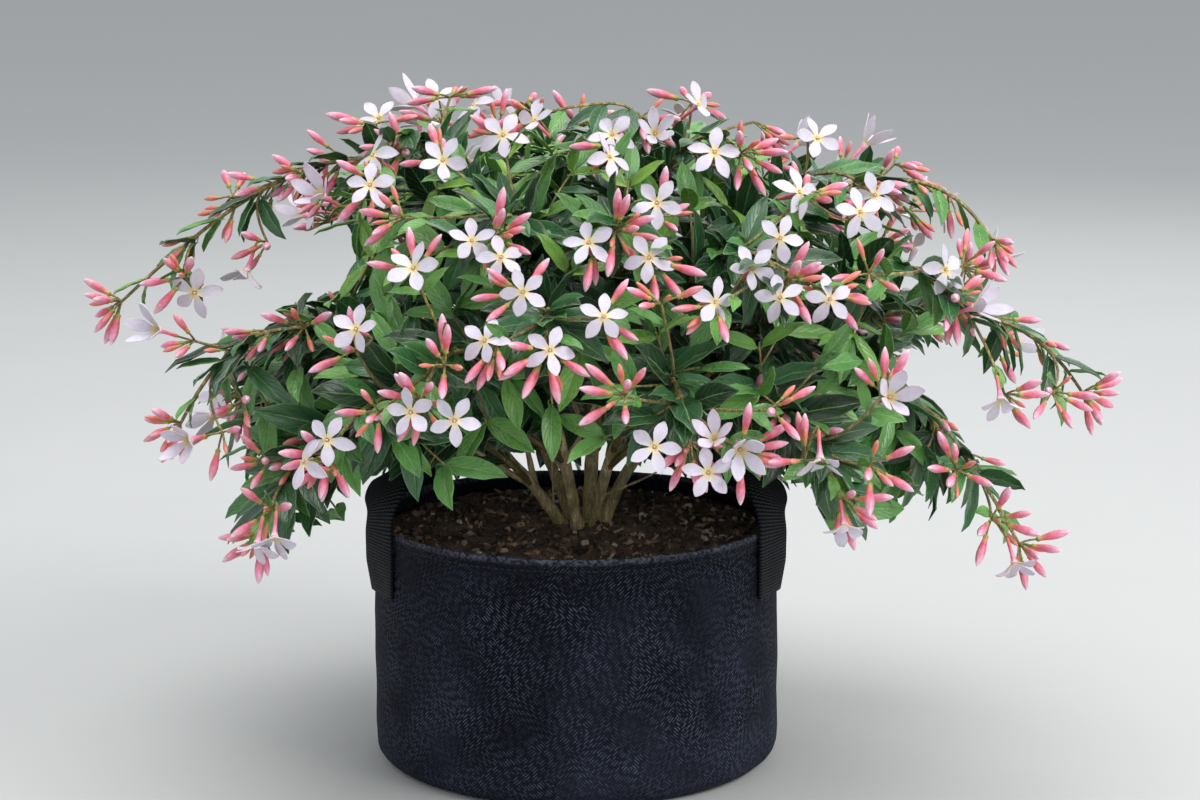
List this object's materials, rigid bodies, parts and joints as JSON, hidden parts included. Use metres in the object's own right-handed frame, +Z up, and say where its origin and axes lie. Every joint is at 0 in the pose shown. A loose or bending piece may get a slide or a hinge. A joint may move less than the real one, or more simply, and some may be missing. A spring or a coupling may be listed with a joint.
{
  "type": "potted downy jasmine",
  "caption": "Flowering shrub of arching shoots with glossy leaves, pink buds and white star flowers, growing in a round black fabric grow bag with two webbing handles.",
  "frame": {"origin": "centre of the bag's flat underside, on the surface it stands on", "axes": "+Z up, -Y towards the front as pictured, +X to the viewer's right"},
  "size_m": [0.7469, 0.6529, 0.5283],
  "materials": {
    "bag_fabric": "matte",
    "webbing": "matte",
    "potting_mix": "matte",
    "bark": "matte",
    "foliage": "satin",
    "blossom": "satin"
  },
  "bodies": {
    "root": {"bag_wall": "bag_fabric", "bag_base": "bag_fabric", "rim_hem": "bag_fabric", "handle_left": "webbing", "handle_right": "webbing", "potting_soil": "potting_mix", "root_crown": "bark", "main_stem_left": "bark", "main_stem_left_rear": "bark", "main_stem_centre": "bark", "main_stem_rear": "bark", "main_stem_right": "bark", "main_stem_right_rear": "bark", "shoot_left_high": "foliage", "shoot_left_middle": "foliage", "shoot_left_low": "foliage", "shoot_left_front": "foliage", "shoot_top_left": "foliage", "shoot_front_left": "foliage", "shoot_front_middle": "foliage", "shoot_front_high": "foliage", "shoot_front_right": "foliage", "shoot_front_top": "foliage", "shoot_right_front": "foliage", "shoot_right_upper": "foliage", "shoot_top_middle": "foliage", "shoot_top_right": "foliage", "shoot_right_low": "foliage", "shoot_right_long": "foliage", "shoot_right_middle": "foliage", "shoot_right_high": "foliage", "shoot_right_top": "foliage", "shoot_rear_left_low": "foliage", "shoot_rear_left": "foliage", "shoot_rear_top": "foliage", "shoot_rear_middle": "foliage", "shoot_rear_right": "foliage", "shoot_rear_right_low": "foliage", "flower_head_left_high": "blossom", "flower_head_left_middle": "blossom", "flower_head_left_low": "blossom", "flower_head_left_front": "blossom", "flower_head_top_left": "blossom", "flower_head_front_left": "blossom", "flower_head_front_middle": "blossom", "flower_head_front_high": "blossom", "flower_head_front_right": "blossom", "flower_head_front_top": "blossom", "flower_head_right_front": "blossom", "flower_head_right_upper": "blossom", "flower_head_top_middle": "blossom", "flower_head_top_right": "blossom", "flower_head_right_low": "blossom", "flower_head_right_long": "blossom", "flower_head_right_middle": "blossom", "flower_head_right_high": "blossom", "flower_head_rear_left": "blossom", "flower_head_rear_middle": "blossom", "flower_head_rear_right": "blossom"}
  },
  "joints": []
}
